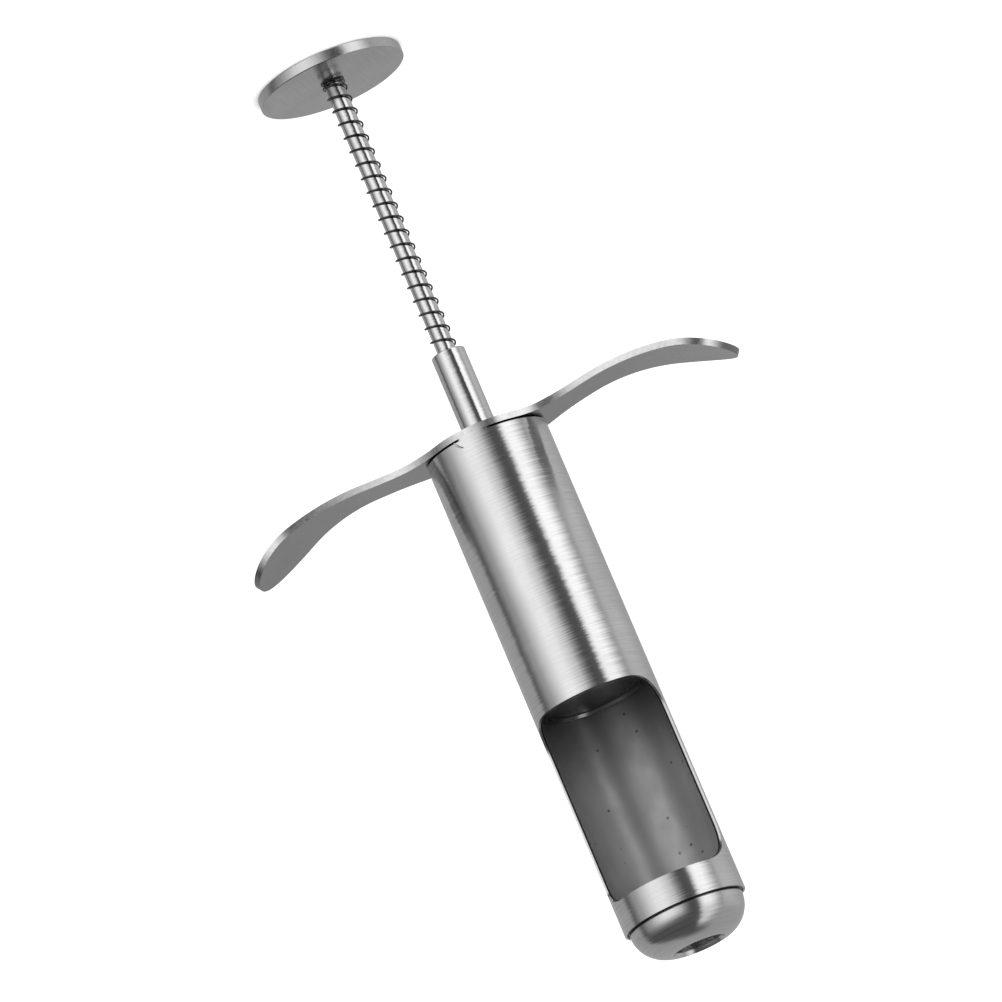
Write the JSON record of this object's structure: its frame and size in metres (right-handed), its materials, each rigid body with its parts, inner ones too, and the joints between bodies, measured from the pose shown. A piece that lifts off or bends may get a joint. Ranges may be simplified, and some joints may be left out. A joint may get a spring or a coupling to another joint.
{
  "type": "meat injector",
  "caption": "Hand-held meat filler: side-loading steel tube with a domed round-ported nose, spring-return palm plunger and a curved two-finger grip.",
  "frame": {"origin": "Centre of the palm face of the palm disc, on which the tool stands, on the tube's axis.", "axes": "+Z runs along the tube's axis from the palm disc to the nose. The two wings of the finger grip lie along X. The loading window faces -Y."},
  "size_m": [0.161, 0.046, 0.2891],
  "materials": {
    "brushed_tube": "stainless tube, brushed round its girth",
    "turned_steel": "turned stainless steel with fine rings",
    "satin_strip": "satin stainless strip, edges rounded",
    "satin_disc": "fine satin stainless disc",
    "rod_steel": "bright drawn stainless rod",
    "piston_steel": "turned stainless steel, dull",
    "spring_wire": "bright stainless spring wire",
    "ground_weld": "weld ground smooth and brushed",
    "white_plastic": "plain off-white acetal",
    "clear_silicone": "milky food-grade silicone"
  },
  "bodies": {
    "barrel": {"barrel_tube": "brushed_tube", "thread_ring": "turned_steel", "finger_grip": "satin_strip", "grip_weld_front": "ground_weld", "grip_weld_back": "ground_weld", "guide_sleeve": "brushed_tube", "sleeve_weld": "ground_weld", "rod_bush": "white_plastic", "return_spring": "spring_wire"},
    "plunger_stop": {"stop_washer": "turned_steel"},
    "plunger": {"stop_clip": "spring_wire", "plunger_rod": "rod_steel", "palm_disc": "satin_disc", "disc_plug_weld": "ground_weld", "piston": "piston_steel", "piston_seal": "clear_silicone", "piston_lock_washer": "turned_steel", "piston_lock_nut": "turned_steel"},
    "cap_seal": {"nose_gasket": "clear_silicone"},
    "cap": {"nose_cap": "turned_steel"}
  },
  "joints": [
    {"name": "plunger_slide", "type": "slide", "parent": "barrel", "child": "plunger_stop", "axis": [0, 0, 1], "range_m": [0, 0.06], "stiffness_N_per_m": 150, "springref_m": -0.035, "deforming": ["return_spring"]},
    {"name": "plunger_spin", "type": "hinge", "parent": "plunger_stop", "child": "plunger", "pos_m": [0, 0, 0], "axis": [0, 0, 1], "continuous": true},
    {"name": "cap_lift", "type": "slide", "parent": "barrel", "child": "cap_seal", "axis": [0, 0, 1], "range_m": [0, 0.0045]},
    {"name": "cap_turn", "type": "hinge", "parent": "cap_seal", "child": "cap", "pos_m": [0, 0, 0.2784], "axis": [0, 0, 1], "range_deg": [0, 1080]}
  ],
  "couplings": [
    {"joint": "cap_lift", "follows": "cap_turn", "m_per_rad": 0.00023873}
  ]
}
